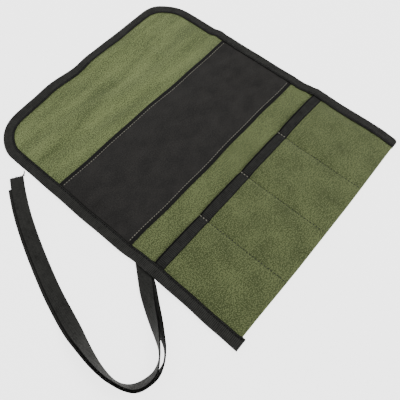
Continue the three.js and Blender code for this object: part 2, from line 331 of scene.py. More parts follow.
def cover(x, y):
    """Top of all that the side tapes are folded over."""
    v = (y - FOLD_Y) / MM
    mouth, start = (MOUTH_Y - FOLD_Y) / MM, (MOUTH_TAPE_START - FOLD_Y) / MM
    pocket = smooth((mouth + 7 - v) / 7)
    under_tape = smooth((v - start + 2) / 2) * smooth((mouth + 2 - v) / 3) * sizes().tape
    front = pocket * (pocket_gap(x, np.minimum(y, MOUTH_Y)) + sizes().canvas) + under_tape
    low, high = (PANEL_START - FOLD_Y) / MM, (PANEL_END - FOLD_Y) / MM
    panel = smooth((v - low + 2) / 3) * smooth((high + 2 - v) / 3) * sizes().leather
    return sheet_top(x, y) + front + panel


def panel_edge(x, upper):
    """Place of the panel's long edge, a little uneven as it was sewn."""
    wander = 0.5 * np.sin(x / (31 * MM) + 2 * upper) + 0.3 * np.sin(x / (11 * MM) + upper)
    return (PANEL_END if upper else PANEL_START) + wander * MM


def panel_mid(x, y):
    """The panel lies on the sheet, drawn down a little by its two rows of stitches."""
    pull = 0
    for upper, inward in ((False, 1), (True, -1)):
        line = panel_edge(x, upper) + inward * sizes().stitch_inset
        pull = pull + bell(y - line, 1.4 * MM)
    return sheet_top(x, y) + sizes().leather / 2 + (0.22 - 0.2 * pull) * MM


def panel_top(x, y):
    """Upper face of the panel."""
    return panel_mid(x, y) + sizes().leather / 2


def end_y(x, inset):
    """The flap's end, with its round corners, this far inside the edge."""
    r = sizes().corner - inset
    past = np.clip(np.abs(x) - (SIDE - inset - r), 0, r)
    drawn = eased(END_WANDER, x / MM) * MM
    return END_Y - inset - r + np.sqrt(np.maximum(r * r - past * past, 0)) + drawn


# Grids of points

def spaced(start, stop, step):
    """Even places from start to stop, about a step apart."""
    return np.linspace(start, stop, max(1, round(abs(stop - start) / step)) + 1)


def run(marks):
    """Places through (place, step) marks: each step holds up to the next place."""
    parts = [spaced(a, b, step)[:-1] for (a, step), (b, _) in zip(marks[:-1], marks[1:])]
    return np.concatenate([*parts, [marks[-1][0]]])


def across_roll(edge):
    """Places from side to side, closer together at the roll-up lines."""
    marks = [(-edge, GRID)]
    for line in ROLL_LINES:
        marks += [(line - ROLL_BAND, FINE_GRID), (line + ROLL_BAND, GRID), (line + PITCH / 2, GRID)]
    return run([*marks, (edge, GRID)])


def distances(points):
    """Distance of each point from the first, along the line through them."""
    return np.concatenate([[0], np.cumsum(np.linalg.norm(np.diff(points, axis=0), axis=1))])


def across_fold(a, b):
    """Places across a folded cloth, from the mean length of its steps in two directions."""
    step = np.hypot(np.diff(a, axis=1), np.diff(b, axis=1)).mean(0)
    return np.concatenate([[0], np.cumsum(step)])


def nearest(places, value):
    """Number of the place that is nearest to the value."""
    return int(np.argmin(np.abs(places - value)))


class Skin:
    """A grid of points along the middle of a cloth, with the same points on the cloth laid flat."""

    def __init__(self, points, flat):
        self.points = points
        self.flat = flat
        self.along = self.unit(np.gradient(points, axis=0))
        self.over = self.unit(np.gradient(points, axis=1))
        self.normal = self.unit(np.cross(self.along, self.over))

    @staticmethod
    def unit(v):
        return v / np.maximum(np.linalg.norm(v, axis=-1, keepdims=True), 1e-12)

    def part(self, first, last):
        """The same cloth from one row of the grid to another."""
        piece = object.__new__(Skin)
        for name in ("points", "flat", "along", "over", "normal"):
            setattr(piece, name, getattr(self, name)[first:last + 1])
        return piece


def make_object(name, verts, faces, normals, uvs, materials, face_material):
    """A smooth mesh object with its own normals and its flat cloth coordinates."""
    mesh = bpy.data.meshes.new(name)
    mesh.from_pydata(verts.tolist(), [], faces)
    for material in materials:
        mesh.materials.append(material)
    mesh.polygons.foreach_set("material_index", np.asarray(face_material, np.int32))
    mesh.polygons.foreach_set("use_smooth", np.ones(len(mesh.polygons), bool))
    corner = np.zeros(len(mesh.loops), np.int32)
    mesh.loops.foreach_get("vertex_index", corner)
    layer = mesh.uv_layers.new(name="UVMap")
    layer.data.foreach_set("uv", uvs[corner].astype(np.float32).ravel())
    mesh.update()
    if normals is not None:
        mesh.normals_split_custom_set_from_vertices(normals.tolist())
    piece = bpy.data.objects.new(name, mesh)
    bpy.context.scene.collection.objects.link(piece)
    return piece


def cloth(name, skin, thickness, materials, round_sides="uUvV", trim=np.s_[:0]):
    """A closed cloth of this thickness. Its cut edges are round on the sides named: u and v at the
    grid's start, U and V at its end. The columns of faces in trim take the last material."""
    rows, cols = skin.points.shape[:2]
    half = thickness / 2
    top = skin.points + skin.normal * half
    bottom = skin.points - skin.normal * half
    index = np.arange(rows * cols).reshape(rows, cols)
    count = rows * cols
    quads = np.stack([index[:-1, :-1], index[1:, :-1], index[1:, 1:], index[:-1, 1:]], -1)
    quads = quads.reshape(-1, 4)

    outward = np.zeros_like(skin.points)
    for side, where, direction in (
        ("u", np.s_[:1, :], -skin.along), ("U", np.s_[-1:, :], skin.along),
        ("v", np.s_[:, :1], -skin.over), ("V", np.s_[:, -1:], skin.over),
    ):
        if side in round_sides:
            outward[where] += direction[where]
    border = np.concatenate([index[:-1, 0], index[-1, :-1], index[:0:-1, -1], index[0, :0:-1]])
    out = Skin.unit(outward.reshape(-1, 3)[border])
    ring = skin.points.reshape(-1, 3)[border] + out * half * 0.7
    rim = 2 * count + np.arange(len(border))
    after = np.roll(np.arange(len(border)), -1)
    upper = np.stack([border[after], border, rim, rim[after]], -1)
    lower = np.stack([rim[after], rim, border + count, border[after] + count], -1)

    faces = [*quads.tolist(), *(quads[:, ::-1] + count).tolist(), *upper.tolist(), *lower.tolist()]
    top_material = np.zeros((rows - 1, cols - 1), int)
    top_material[:, trim] = len(materials) - 1
    face_material = [*top_material.ravel(), *[len(materials) - 1] * (len(quads) + 2 * len(border))]
    flat = skin.flat.reshape(-1, 2)
    verts = np.concatenate([top.reshape(-1, 3), bottom.reshape(-1, 3), ring])
    up = skin.normal.reshape(-1, 3)
    rim_normal = np.where(np.abs(out).sum(1, keepdims=True) > 0, out, up[border])
    normals = np.concatenate([up, -up, rim_normal])
    uvs = np.concatenate([flat, flat, flat[border]])
    return make_object(name, verts, faces, normals, uvs, materials, face_material)


def bend_at_roll(piece):
    """Bakes the piece's placement into its mesh."""
    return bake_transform(piece)


def bend_at_flap(piece):
    """Bakes the piece's placement into its mesh."""
    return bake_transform(piece)


def lower_spans(xs):
    """Rows of the grid of the three lower pieces, cut at the middles of the two inner columns."""
    cuts = [0, *(nearest(xs, x) for x in MIDDLES), len(xs) - 1]
    return list(zip((1, 2, 3), cuts[:-1], cuts[1:]))


def column_spans(xs):
    """Rows of the grid of the four columns, cut at the roll-up lines."""
    cuts = [0, *(nearest(xs, x) for x in ROLL_LINES), len(xs) - 1]
    return list(zip(COLUMNS, cuts[:-1], cuts[1:]))


def stood_for(k, pattern):
    """Names of the CAD nodes that lower piece k stands for: the middle piece has two columns'."""
    return [pattern.format(column) for column in {1: (1,), 2: (2, 3), 3: (4,)}[k]]


# Materials

class Look:
    """A node material, built from a principled shader on cloth coordinates in metres."""

    def __init__(self, name, **values):
        self.material = bpy.data.materials.new(name)
        self.material.use_nodes = True
        self.tree = self.material.node_tree
        self.shader = self.tree.nodes["Principled BSDF"]
        for socket, value in values.items():
            self.shader.inputs[socket.replace("_", " ")].default_value = value
        uv = self.tree.nodes.new("ShaderNodeUVMap")
        uv.uv_map = "UVMap"
        self.uv = uv.outputs["UV"]

    def node(self, kind, inputs=(), **settings):
        """A new node with its inputs linked or set, and its settings."""
        made = self.tree.nodes.new(kind)
        for key, value in settings.items():
            setattr(made, key, value)
        for socket, value in dict(inputs).items():
            if isinstance(value, bpy.types.NodeSocket):
                self.tree.links.new(value, made.inputs[socket])
            else:
                made.inputs[socket].default_value = value
        return made

    def math(self, operation, *values):
        """Result of a math node on numbers or sockets."""
        return self.node("ShaderNodeMath", dict(enumerate(values)), operation=operation).outputs[0]

    def stretched(self, across, along):
        """Cloth coordinates counted in lengths of this size each way."""
        scale = (1 / across, 1 / along, 1)
        made = self.node("ShaderNodeVectorMath", {0: self.uv, 1: scale}, operation="MULTIPLY")
        return made.outputs[0]

    def ridges(self, count):
        """Round ridges, one for each whole count."""
        return self.math("ABSOLUTE", self.math("SINE", self.math("MULTIPLY", count, math.pi)))

    def axes(self, vector):
        """The separate x, y and z of a vector."""
        return self.node("ShaderNodeSeparateXYZ", {0: vector}).outputs

    def noise(self, vector, detail=2.0, rough=0.5):
        """Soft noise from 0 to 1, its patches about one unit of the vector wide."""
        inputs = {"Vector": vector, "Scale": 1.0, "Detail": detail, "Roughness": rough}
        return self.node("ShaderNodeTexNoise", inputs).outputs["Fac"]

    def mix(self, factor, a, b):
        """Blend of two numbers."""
        made = self.node("ShaderNodeMix", {"Factor": factor, "A": a, "B": b}, data_type="FLOAT")
        return made.outputs[0]

    def ramp(self, factor, stops):
        """Colour by factor, through (place, colour) stops."""
        made = self.node("ShaderNodeValToRGB", {"Fac": factor})
        elements = made.color_ramp.elements
        while len(elements) < len(stops):
            elements.new(0.5)
        for element, (place, colour) in zip(elements, stops):
            element.position = place
            element.color = (*colour, 1)
        return made.outputs["Color"]

    def wear(self, socket, output):
        """Links an output to a socket of the shader."""
        self.tree.links.new(output, self.shader.inputs[socket])

    def bump(self, layers):
        """Bumps one on another: (height, how deep in metres, strength)."""
        normal = None
        for height, depth, strength in layers:
            inputs = {"Height": height, "Distance": depth, "Strength": strength}
            if normal is not None:
                inputs["Normal"] = normal
            normal = self.node("ShaderNodeBump", inputs).outputs["Normal"]
        self.wear("Normal", normal)


def shade(colour, amount):
    """The colour made lighter or darker."""
    return tuple(min(1.0, c * amount) for c in colour)


def between(a, b, share):
    """The colour this share of the way from a to b."""
    return tuple(p + (q - p) * share for p, q in zip(a, b))


def canvas_look(name, mottle, streaks, broad_tone, broad_size, lift):
    """Olive plain-weave canvas. mottle is how patchy the face is, streaks how much its thick yarns
    show, the next two how much its tone varies over broad patches and how big they are, and lift how
    light it is."""
    light = shade(colours().canvas_light, lift)
    dark = shade(colours().canvas_dark, lift)
    look = Look(
        name, Roughness=0.93, Sheen_Weight=0.12, Sheen_Roughness=0.6, Specular_IOR_Level=0.18
    )
    pitch = sizes().weave
    cells = look.stretched(pitch, pitch)
    warp, weft = (look.ridges(count) for count in look.axes(cells)[:2])
    over = look.node("ShaderNodeTexChecker", {"Vector": cells, "Scale": 1.0}).outputs["Fac"]
    warp_top = look.math("MULTIPLY", warp, look.math("MULTIPLY_ADD", weft, 0.5, 0.5))
    weft_top = look.math("MULTIPLY", weft, look.math("MULTIPLY_ADD", warp, 0.5, 0.5))
    height = look.mix(over, warp_top, weft_top)

    warp_yarn = look.noise(look.stretched(pitch * 1.1, pitch * 9), 1.0)
    weft_yarn = look.noise(look.stretched(pitch * 9, pitch * 1.1), 1.0)
    yarn = look.mix(over, warp_yarn, weft_yarn)
    patch = look.noise(look.stretched(3.2 * MM, 3.2 * MM), 4.0, 0.62)
    speck = look.noise(look.stretched(1.1 * MM, 1.1 * MM), 0.0)
    slub = look.noise(look.stretched(12 * MM, 1.3 * MM), 1.0)
    broad = look.noise(look.stretched(*broad_size), 1.5, 0.5)
    # the weave's height lightens the yarns' crests and darkens the gaps between them: painted shade
    height_share, contrast = 0.6, 2.2
    tone, total = look.math("MULTIPLY", height, height_share), height_share * 1.2
    shares = ((patch, mottle), (speck, 3.4), (yarn, 1.5), (slub, streaks), (broad, broad_tone))
    for pattern, weight in shares:
        tone = look.math("MULTIPLY_ADD", pattern, weight, tone)
        total += weight
    tone = look.math("MULTIPLY_ADD", look.math("SUBTRACT", tone, total / 2), contrast, 0.5)
    stops = [(0.0, dark), (0.5, between(dark, light, 0.5)), (1.0, light)]
    look.wear("Base Color", look.ramp(tone, stops))
    look.bump([(patch, 0.4 * MM, 0.5), (speck, 0.12 * MM, 0.5), (height, 0.2 * MM, 0.6)])
    return look.material


def leather_look(name, depth):
    """Smooth black imitation leather: a fine pebble grain with a soft dull shine."""
    # depth below 1 darkens the leather's colour: painted shade, for the strip beyond the panel's
    # stitches
    base = shade(colours().panel, depth)
    look = Look(name, Roughness=0.62, Specular_IOR_Level=0.2)
    cells = look.stretched(1.1 * MM, 1.1 * MM)
    pebble = look.node("ShaderNodeTexVoronoi", {"Vector": cells, "Scale": 1.0}, feature="SMOOTH_F1")
    worn = look.noise(look.stretched(24 * MM, 17 * MM), 4.0, 0.55)
    fine = look.noise(look.stretched(1.3 * MM, 1.3 * MM), 1.0)
    tone = look.math("MULTIPLY_ADD", worn, 0.5, look.math("MULTIPLY", fine, 0.5))
    look.wear("Base Color", look.ramp(tone, [(0.32, shade(base, 0.45)), (0.68, shade(base, 1.7))]))
    look.wear("Roughness", look.math("MULTIPLY_ADD", worn, 0.2, 0.54))
    look.bump([(worn, 0.5 * MM, 0.25), (pebble.outputs["Distance"], 0.12 * MM, 0.35)])
    return look.material


def tape_look(name, rib, depth, groove_at, lift):
    """Black woven tape with ribs across it, each rib's crest painted lighter as highlight, and dusty
    patches. Its edge and the groove that its stitches pull, this far from the edge, are painted
    darker as shade."""
    base = shade(colours().tape, lift)
    look = Look(name, Roughness=0.85, Specular_IOR_Level=0.14)
    ribs, yarns = (look.ridges(count) for count in look.axes(look.stretched(rib, rib * 0.45))[:2])
    height = look.math("MULTIPLY_ADD", yarns, 0.3, ribs)
    slub = look.noise(look.stretched(rib * 0.8, rib * 3), 2.0)
    dust = look.noise(look.stretched(14 * MM, 8 * MM), 3.0, 0.6)
    tone = look.math("MULTIPLY_ADD", slub, 0.55, look.math("MULTIPLY", dust, 0.5))
    # each rib's and yarn's crest is painted lighter and its hollow darker, as light and shade
    tone = look.math("MULTIPLY_ADD", height, 0.45, tone)
    place = look.axes(look.uv)[1]
    # painted shade: a dark line along the tape's edge for the shadow beside it, and one along the
    # stitches' groove
    for line, half_width in ((0, 0.4 * MM), (groove_at, 0.65 * MM)):
        off = look.math("ABSOLUTE", look.math("SUBTRACT", place, line))
        off = look.math("DIVIDE", off, half_width)
        dark = look.math("MAXIMUM", look.math("SUBTRACT", 1.3, off), 0.0)
        tone = look.math("SUBTRACT", tone, dark)
    stops = [(0.42, shade(base, 0.25)), (0.75, base), (1.1, shade(base, 2.9))]
    look.wear("Base Color", look.ramp(tone, stops))
    look.bump([(dust, 0.3 * MM, 0.3), (height, depth, 0.6)])
    return look.material


def thread_look(name, colour):
    """Twisted sewing thread."""
    look = Look(name, Roughness=0.7, Sheen_Weight=0.1)
    ply = look.ridges(look.math("ADD", *look.axes(look.stretched(0.5 * MM, 0.7 * MM))[:2]))
    # the grooves between the plies are painted darker, as shade
    look.wear("Base Color", look.ramp(ply, [(0.1, shade(colour, 0.6)), (0.8, colour)]))
    look.bump([(ply, 0.1 * MM, 0.5)])
    return look.material


def material(name):
    """The material of this name, made when it is first asked for."""
    made = bpy.data.materials.get(name)
    if made is not None:
        return made
    rib = sizes().rib
    makers = {
        "olive_canvas_face": lambda: canvas_look(name, 0.6, 0.45, 1.0, (40 * MM, 22 * MM), 1.1),
        # the flap's copy of the canvas is lighter all over: painted light, for the stronger light
        # that falls on the flap
        "olive_canvas_flap": lambda: canvas_look(name, 0.6, 0.5, 1.6, (85 * MM, 15 * MM), 1.34),
        "olive_canvas_back": lambda: canvas_look(name, 1.0, 0.4, 1.1, (24 * MM, 28 * MM), 0.95),
        "black_leatherette": lambda: leather_look(name, 1.0),
        # the strip beyond the panel's stitches is darkened as painted shade
        "black_leatherette_edge": lambda: leather_look(name, 0.3),
        "black_binding_tape": lambda: tape_look(name, rib, 0.3 * MM, BINDING_STITCHES, 1.12),
        "black_mouth_tape": lambda: tape_look(name, rib, 0.3 * MM, 11.2 * MM, 0.9),
        "black_tie_tape": lambda: tape_look(name, rib * 0.7, 0.22 * MM, PAST_THE_TAPE, 1.12),
        "pale_thread": lambda: thread_look(name, colours().thread_pale),
        "dark_thread": lambda: thread_look(name, colours().thread_dark),
    }
    return makers[name]()


# Pieces

def tie_route(s):
    """The ties' route at shares s of it: x and y in metres, the turn in radians and the spread."""
    route = np.array(TIE_ROUTE, float)
    route = np.vstack([2 * route[0] - route[1], route, 2 * route[-1] - route[-2]])
    spans = len(TIE_ROUTE) - 1
    at = np.clip(s, 0, 1) * spans
    k = np.minimum(at.astype(int), spans - 1)
    t = (at - k)[:, None]
    p0, p1, p2, p3 = (route[k + i] for i in range(4))
    m1, m2 = (p2 - p0) / 2, (p3 - p1) / 2
    t2, t3 = t * t, t * t * t
    here = (2 * t3 - 3 * t2 + 1) * p1 + (t3 - 2 * t2 + t) * m1
    here = here + (3 * t2 - 2 * t3) * p2 + (t3 - t2) * m2
    place = here[:, :2] * MM + np.array([0, FOLD_Y])
    spread = np.interp(at, np.arange(spans + 1), [row[3] * MM for row in TIE_ROUTE])
    return place, np.radians(np.maximum(here[:, 2], 0)), spread


def tie_skin(is_upper, cut_back):
    """Middle of one tail's tape, and the line along its own middle."""
    places_along, places_across = 261, 11
    s = np.linspace(0, 1 - cut_back, places_along)
    place, turn, spread = tie_route(s)
    along = Skin.unit(np.gradient(place, axis=0))
    across = np.stack([along[:, 1], -along[:, 0]], -1)
    w, t = sizes().tie_width / 2 + 0.3 * MM, sizes().tie_thickness / 2
    side = 1 if is_upper else -1
    beside = side * spread
    lift = (sizes().tie_thickness + 0.3 * MM) * np.cos(turn) if is_upper else 0 * turn
    level = w * np.sin(turn) + t * np.cos(turn) + lift
    u = np.linspace(-1, 1, places_across) * (w - 0.2 * MM)
    flat = beside[:, None] + u * np.cos(turn)[:, None]
    height = level[:, None] - u * np.sin(turn)[:, None]
    points = np.concatenate(
        [place[:, None] + across[:, None] * flat[..., None], height[..., None]], axis=-1
    )
    cloth_uv = np.stack(np.broadcast_arrays(distances(place)[:, None], u + w), -1)
    centre = np.concatenate([place + across * beside[:, None], level[:, None]], axis=1)
    # the tape's first direction is along the route and its second to the route's left, face up
    return Skin(points[:, ::-1], cloth_uv[:, ::-1]), centre


def tuck_skin(skin, side_x, drop):
    """The tape's end from the tail's start back under the edge of the sheet, down to this height."""
    start, run_in = skin.points[0], skin.points[0] - skin.points[3]
    direction = Skin.unit(run_in.mean(0) * np.array([1, 1, 0]))
    reach = (side_x - start[:, 0]) / direction[0]
    places = 12
    t = np.linspace(0, 1, places)[:, None, None]
    points = start + direction * reach[None, :, None] * t
    points[..., 2] += (drop - start[:, 2]) * smooth(t[..., 0])
    flat = skin.flat[0] - np.stack(np.broadcast_arrays(reach * t[..., 0], 0 * reach), -1)
    return Skin(points[::-1], flat[::-1])


def make_ties():
    """The two tails, their ends tucked under the edge tape and the loose yarns at their cut ends."""
    tape = [material("black_tie_tape")]
    thickness = sizes().tie_thickness
    for is_upper, cut_back, length in ((True, 0.0, 0.371), (False, 0.03, 0.368)):
        name = "upper" if is_upper else "lower"
        skin, centre = tie_skin(is_upper, cut_back)
        tail = cloth(f"tie_{name}", skin, thickness, tape)
        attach(tail, "column_1")
        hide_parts(f"tie_tail_{name}")
        drop = thickness * (1.2 if is_upper else 0.45)
        under_edge = tuck_skin(skin, -SIDE + 6 * MM, drop)
        tuck = cloth(f"tie_tuck_{name}", under_edge, thickness * 0.8, tape)
        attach(tuck, "column_1")
        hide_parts("tie_anchor")
        fray = make_fray(f"tie_fray_{name}", skin, is_upper)


def tube_faces(rings, sides, base):
    """Faces round a tube of rings of points, the first of them numbered base."""
    faces = []
    for ring in range(rings - 1):
        for k in range(sides):
            a, b = base + ring * sides + k, base + ring * sides + (k + 1) % sides
            faces.append((a, b, b + sides, a + sides))
    return faces


def make_fray(name, skin, is_upper):
    """Short loose yarns at the tape's cut end, with a longer one at the upper tail's corner."""
    chance = np.random.default_rng(FRAY_SEEDS[is_upper])
    ends = skin.points[-1]
    out = skin.along[-1].mean(0)
    yarns, yarn_radius = 26, 0.11 * MM
    strands = []
    for _ in range(yarns):
        share = chance.uniform(0.03, 0.97) * (len(ends) - 1)
        low, high = ends[int(share)], ends[min(int(share) + 1, len(ends) - 1)]
        start = low + (high - low) * (share % 1)
        reach = chance.uniform(0.6, 2.0) * MM
        sway = skin.over[-1, 0] * chance.normal(0, 0.4) * MM
        strands.append((start, out * reach + sway, yarn_radius))
    if is_upper:
        corner, outward = ends[0] + skin.over[-1, 0] * 0.8 * MM, -skin.over[-1, 0]
        strands.append((corner, out * 6.2 * MM + outward * 2.4 * MM, 0.7 * MM))
        strands.append((corner, out * 1.2 * MM + outward * 2.4 * MM, 0.75 * MM))
    verts, faces = [], []
    rings, sides = 6, 3
    for start, reach, radius in strands:
        side = np.cross(reach, (0, 0, 1.0))
        side = side / np.linalg.norm(side)
        curl = np.linalg.norm(reach) / 6
        base = len(verts)
        for t in np.linspace(-0.15, 1, rings):
            centre = start + reach * t + side * curl * math.sin(3 * t)
            centre[2] = max(centre[2] - 0.25 * MM * t, 2 * radius)
            for turn in (0, 2, 4):
                a = turn * math.pi / sides
                up = np.array([0, 0, radius * math.sin(a)])
                verts.append(centre + side * radius * math.cos(a) + up)
        faces += [(a, d, c, b) for a, b, c, d in tube_faces(rings, sides, base)]
        last = base + rings * sides - 1
        faces += [(base, base + 1, base + 2), (last, last - 1, last - 2)]
    verts = np.array(verts)
    look = [material("dark_thread")]
    fray = make_object(name, verts, faces, None, verts[:, :2], look, [0] * len(faces))
    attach(fray, "column_1")
    return fray


def lower_canvas():
    """The sheet below the flap: its back, its fold and the pocket fronts, in one grid."""
    xs = across_roll(SIDE - CANVAS_INSET)
    t = sizes().canvas
    round_fold = 0.65 * MM
    x = xs[:, None]
    fold_middle = FOLD_Y + t / 2 + round_fold - 1.5 * MM * smooth(1.3 - np.abs(x) / (115 * MM))
    back_places, front_places, fold_places = 78, 46, 10
    mouth = MOUTH_Y - sizes().tape - 0.2 * MM
    back = JOIN_Y + np.linspace(0, 1, back_places) * (fold_middle - JOIN_Y)
    front = fold_middle + np.linspace(0, 1, front_places) * (mouth - fold_middle)
    turn = np.linspace(0, np.pi, fold_places)[1:-1]
    low, high = sheet_mid(x, fold_middle), front_mid(x, fold_middle)
    fold_y = fold_middle - round_fold * np.sin(turn)
    fold_z = (low + high) / 2 - (high - low) / 2 * np.cos(turn)
    y = np.concatenate([back, fold_y, front], 1)
    z = np.concatenate([sheet_mid(x, back), fold_z, front_mid(x, front)], 1)
    x = np.broadcast_to(x, y.shape)
    flat = np.broadcast_to(across_fold(y, z), y.shape)
    return xs, Skin(np.stack([x, y, z], -1), np.stack([x, flat], -1)), float(flat[0, -1])


def flap_canvas():
    """The sheet from just below the flap's fold to its round end."""
    xs = across_roll(SIDE - CANVAS_INSET)
    bend = spaced(JOIN_Y, BAND_END, FINE_GRID)
    places = 64
    share = np.linspace(0, 1, places)[1:]
    x = xs[:, None]
    beyond = BAND_END + share * (end_y(x, CANVAS_INSET) - BAND_END)
    y = np.concatenate([np.broadcast_to(bend, (len(xs), len(bend))), beyond], 1)
    x = np.broadcast_to(x, y.shape)
    return xs, Skin(np.stack([x, y, sheet_mid(x, y)], -1), np.stack([x, y], -1))


def make_canvas():
    """The lower sheet with its pocket fronts in three pieces, and the flap's cloth in four."""
    face, back = material("olive_canvas_face"), material("olive_canvas_back")
    t = sizes().canvas
    xs, skin, cut = lower_canvas()
    for k, first, last in lower_spans(xs):
        piece = cloth(f"canvas_pockets_{k}", skin.part(first, last), t, [back, face], "")
        bend_at_roll(piece)
        for pattern in (
            "canvas_back_{}", "canvas_fold_{}", "pocket_front_{}", "pocket_front_{}_left",
            "pocket_front_{}_right",
        ):
            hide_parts(*stood_for(k, pattern))
    xs, skin = flap_canvas()
    for column, first, last in column_spans(xs):
        # the flap's top takes the canvas painted lighter, as light
        looks = [material("olive_canvas_flap"), back]
        piece = cloth(f"canvas_flap_cloth_{column}", skin.part(first, last), t, looks, "")
        bend_at_flap(piece)
        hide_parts(f"canvas_flap_{column}")


def make_panel():
    """The panel below the flap's fold in three pieces, and beyond it in four."""
    look = [material("black_leatherette"), material("black_leatherette_edge")]
    t = sizes().leather
    strip, places = PANEL_STRIP, 20
    xs = across_roll(SIDE - 3 * MM)
    x = xs[:, None]
    for upper in (False, True):
        edge = panel_edge(x, upper)
        if upper:
            bend = spaced(JOIN_Y, BAND_END, FINE_GRID)
            bend = np.broadcast_to(bend, (len(xs), len(bend)))
            share = np.linspace(0, 1, places)[1:-1]
            face = BAND_END + share * (edge - strip[-1] - BAND_END)
            y = np.concatenate([bend, face, edge - strip[::-1]], 1)
        else:
            share = np.linspace(0, 1, places)[1:]
            face = edge + strip[-1] + share * (JOIN_Y - edge - strip[-1])
            y = np.concatenate([edge + strip, face], 1)
        wide = np.broadcast_to(x, y.shape)
        skin = Skin(np.stack([wide, y, panel_mid(wide, y)], -1), np.stack([wide, y], -1))
        spans = column_spans(xs) if upper else lower_spans(xs)
        for k, first, last in spans:
            name = f"panel_{'far' if upper else 'near'}_{k}"
            # the strip beyond the stitches takes the darker leather: painted shade
            side, trim = ("V", np.s_[-PAINTED_SHADE_SPANS:]) if upper else ("v", np.s_[:PAINTED_SHADE_SPANS])
            piece = cloth(name, skin.part(first, last), t, look, side, trim)
            if upper:
                bend_at_flap(piece)
                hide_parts(f"panel_upper_{k}")
            else:
                bend_at_roll(piece)
                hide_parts(*stood_for(k, "panel_lower_{}"))


def edge_wander(x, y):
    """How far the binding's edge lies outside its straight line."""
    u, v = x / MM, (y - FOLD_Y) / MM
    side = np.where(u < 0, eased(LEFT_WANDER, v), eased(RIGHT_WANDER, v))
    at_end = smooth((v - 318) / 30)
    return (side * (1 - at_end) + eased(END_WANDER, u) * at_end) * MM


def binding_path():
    """Points of the sheet's edge with the direction inwards, from the left end round to the right
    one, and the places where the tape is cut into pieces."""
    r = sizes().corner
    rows, cuts = [], []

    def straight(start, stop, inward, step):
        for t in np.linspace(0, 1, max(1, round(math.dist(start, stop) / step)) + 1)[:-1]:
            rows.append((*(np.array(start) * (1 - t) + np.array(stop) * t), *inward))

    def corner(side):
        for t in np.linspace(0, 1, 37)[:-1]:
            turn = (t if side < 0 else 1 - t) * math.pi / 2
            away = np.array([side * math.cos(turn), math.sin(turn)])
            rows.append((*(np.array([side * (SIDE - r), END_Y - r]) + away * r), *-away))

    past_fold = FOLD_Y - 3.5 * MM
    straight((-SIDE, past_fold), (-SIDE, JOIN_Y), (1, 0), TAPE_GRID)
    cuts.append(len(rows))
    straight((-SIDE, JOIN_Y), (-SIDE, BAND_END), (1, 0), FINE_GRID)
    straight((-SIDE, BAND_END), (-SIDE, END_Y - r), (1, 0), TAPE_GRID)
    corner(-1)
    places = [-SIDE + r, *ROLL_LINES, SIDE - r]
    for k, (a, b) in enumerate(zip(places[:-1], places[1:])):
        straight((a, END_Y), (b, END_Y), (0, -1), TAPE_GRID)
        if k < 3:
            cuts.append(len(rows))
    corner(1)
    straight((SIDE, END_Y - r), (SIDE, BAND_END), (-1, 0), TAPE_GRID)
    straight((SIDE, BAND_END), (SIDE, JOIN_Y), (-1, 0), FINE_GRID)
    cuts.append(len(rows))
    straight((SIDE, JOIN_Y), (SIDE, FOLD_Y + 6 * MM), (-1, 0), TAPE_GRID)
    straight((SIDE, FOLD_Y + 6 * MM), (SIDE, FOLD_Y - RIGHT_END), (-1, 0), 0.5 * MM)
    rows.append((SIDE, FOLD_Y - RIGHT_END, -1, 0))
    path = np.array(rows)
    path[:, :2] -= path[:, 2:] * edge_wander(path[:, 0], path[:, 1])[:, None]
    return path, [0, *cuts, len(rows) - 1]


def binding_skin(path):
    """The tape folded over the edge: along its upper leg, round the edge and along its lower leg."""
    edge, inward = path[:, None, :2], path[:, None, 2:]
    length = distances(path[:, :2])
    t = sizes().tape
    width = BINDING_WIDTH + 0.35 * MM * np.sin(length / (17 * MM)) * np.sin(length / (41 * MM) + 1)
    wander = 0.3 * MM * np.sin(length / (29 * MM) + 0.5) * np.sin(length / (12 * MM))
    nose = 1.1 * MM
    leg = np.array(TAPE_LEG)
    turn = np.linspace(0, np.pi, 9)[1:-1]
    w_leg = nose + leg * (width[:, None] - nose)
    w_turn = np.broadcast_to(nose - (nose - t / 2) * np.sin(turn), (len(path), len(turn)))
    w = np.concatenate([w_leg, w_turn, w_leg[:, ::-1]], 1) + wander[:, None]
    left, up_side = path[:, 0] < 0, path[:, 1] - FOLD_Y
    end_radius = 5 * MM
    near_end = np.clip(1 - (up_side + RIGHT_END) / end_radius, 0, 1)
    rounding = np.where(left, 0, end_radius * (1 - np.sqrt(1 - near_end ** 2)))[:, None]
    w = w + rounding * (1 - w / width[:, None])
    w = w + np.where(left, 1.5 * MM * smooth(near_end), 0)[:, None] * w / width[:, None]
    flat_place = edge + inward * w[..., None]
    x, y = flat_place[..., 0], flat_place[..., 1]
    cover_y = np.maximum(y, FOLD_Y + 1 * MM)
    top = cover(x, cover_y) + t / 2 + 0.25 * MM
    bottom = sheet_mid(x, cover_y) - sizes().canvas / 2 - t / 2
    bottom = np.maximum(bottom, t / 2 + 0.4 * MM)
    from_edge = width[:, None] - w
    groove = 0.3 * MM * bell(from_edge - BINDING_STITCHES, 0.8 * MM)
    curl = 0.3 * MM * bell(from_edge, 1 * MM)
    top = top + curl - groove
    middle, half = (top + bottom) / 2, (top - bottom) / 2
    n = len(leg)
    level = np.concatenate([np.ones(n), np.cos(turn), -np.ones(n)])
    z = middle + half * level
    flat = np.stack(np.broadcast_arrays(length[:, None], across_fold(w, z)), -1)
    return Skin(np.stack([x, y, z], -1), flat)


def edge_pieces(path, cuts):
    """(name, first, last, bodies, CAD node) of the six stretches of the edge tape."""
    names = ["left", "far_1", "far_2", "far_3", "far_4", "right"]
    nodes = ["edge_tape_left", *(f"flap_edge_tape_{k}" for k in COLUMNS), "edge_tape_right"]
    return list(zip(names, cuts[:-1], cuts[1:], (1, 1, 2, 3, 4, 4), nodes))


